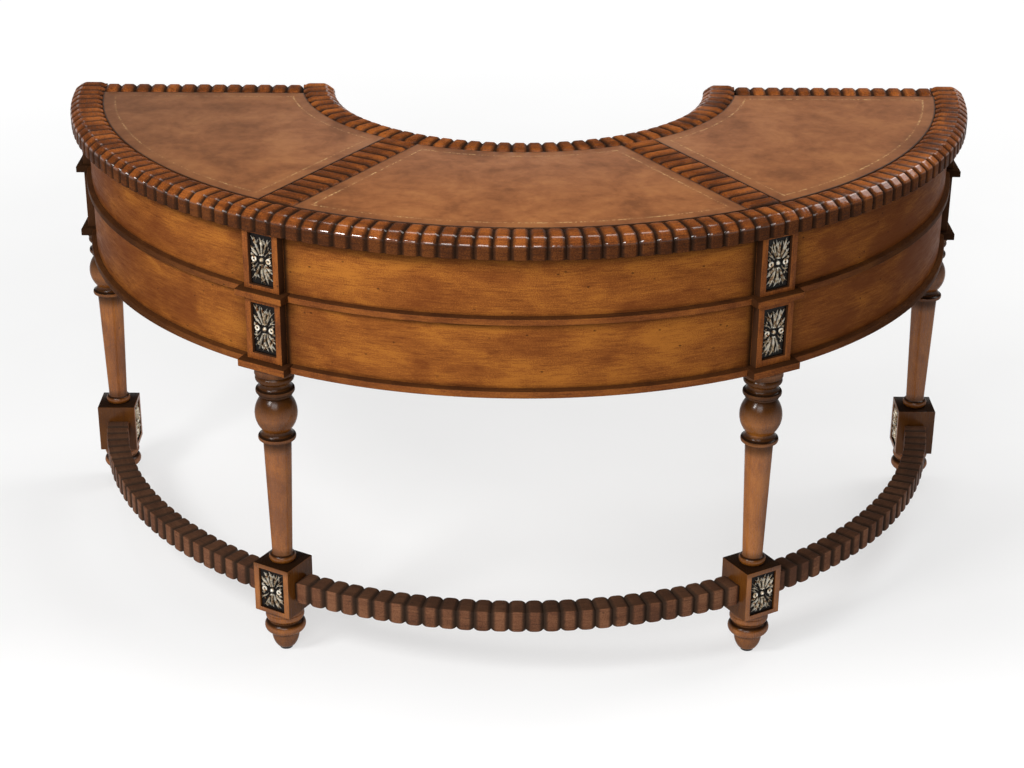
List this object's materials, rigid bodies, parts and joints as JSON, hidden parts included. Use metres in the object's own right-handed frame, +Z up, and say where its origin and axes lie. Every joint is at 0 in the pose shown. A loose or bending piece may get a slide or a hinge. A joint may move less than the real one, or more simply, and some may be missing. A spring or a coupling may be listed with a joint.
{
  "type": "demilune desk",
  "caption": "Half-ring writing desk with leather panels in a lobed edge, a curved apron with posts and plaques, turned legs, a lobed stretcher and drawers.",
  "frame": {"origin": "middle of the bounding box, on the floor", "axes": "+Z up; -Y towards the convex visitor's side, +Y towards the sitter; +X along the width, to the right seen from the visitor's side"},
  "size_m": [1.5708, 0.776, 0.775],
  "materials": {
    "leather": "satin, mottled brown hide with a gold tooled line",
    "carved_wood": "gloss, dark reddish brown stain with dark glaze in the valleys",
    "turned_wood": "satin gloss, warm brown stain",
    "apron_wood": "satin, honey-brown cherry veneer with dark glaze at the edges",
    "moulding_wood": "satin, brown stain with dark glaze",
    "inner_wood": "dull, unpolished secondary wood",
    "drawer_wood": "matte, pale secondary wood",
    "plaque_metal": "antique silver-brass relief on a blackened ground",
    "knob_brass": "antique brass",
    "bolt_steel": "zinc-plated steel",
    "glide_plastic": "black nylon"
  },
  "bodies": {
    "desk": {"apron_centre": "apron_wood", "apron_left": "apron_wood", "apron_right": "apron_wood", "base_mouldings": "moulding_wood", "block_plaques": "plaque_metal", "bottom_board_left": "inner_wood", "bottom_board_right": "inner_wood", "divider_strip_left": "carved_wood", "divider_strip_right": "carved_wood", "drawer_runners": "inner_wood", "dust_board": "inner_wood", "end_edge_left": "carved_wood", "end_edge_right": "carved_wood", "end_frame_left": "apron_wood", "end_frame_right": "apron_wood", "kneehole_edge_centre": "carved_wood", "kneehole_edge_left": "carved_wood", "kneehole_edge_right": "carved_wood", "kneehole_panel_left": "apron_wood", "kneehole_panel_right": "apron_wood", "leather_centre": "leather", "leather_left": "leather", "leather_right": "leather", "leg_back_left": "turned_wood", "leg_back_right": "turned_wood", "leg_bolts": "bolt_steel", "leg_front_left": "turned_wood", "leg_front_right": "turned_wood", "leg_glides": "glide_plastic", "mid_mouldings": "moulding_wood", "outer_edge_centre": "carved_wood", "outer_edge_left": "carved_wood", "outer_edge_right": "carved_wood", "partition_left": "inner_wood", "partition_right": "inner_wood", "post_back_left": "apron_wood", "post_back_right": "apron_wood", "post_frames": "apron_wood", "post_front_left": "apron_wood", "post_front_right": "apron_wood", "post_ledges": "moulding_wood", "post_plaques": "plaque_metal", "stretcher_centre": "carved_wood", "stretcher_left": "carved_wood", "stretcher_right": "carved_wood", "top_board": "inner_wood"},
    "drawer_left": {"drawer_left_bottom": "drawer_wood", "drawer_left_box": "drawer_wood", "drawer_left_front": "apron_wood", "drawer_left_knob": "knob_brass"},
    "drawer_centre": {"drawer_centre_bottom": "drawer_wood", "drawer_centre_box": "drawer_wood", "drawer_centre_front": "apron_wood", "drawer_centre_knob": "knob_brass"},
    "drawer_right": {"drawer_right_bottom": "drawer_wood", "drawer_right_box": "drawer_wood", "drawer_right_front": "apron_wood", "drawer_right_knob": "knob_brass"}
  },
  "joints": [
    {"name": "drawer_left_slide", "type": "slide", "parent": "desk", "child": "drawer_left", "axis": [0, 1, 0], "range_m": [0, 0.17]},
    {"name": "drawer_centre_slide", "type": "slide", "parent": "desk", "child": "drawer_centre", "axis": [0, 1, 0], "range_m": [0, 0.24]},
    {"name": "drawer_right_slide", "type": "slide", "parent": "desk", "child": "drawer_right", "axis": [0, 1, 0], "range_m": [0, 0.17]}
  ]
}
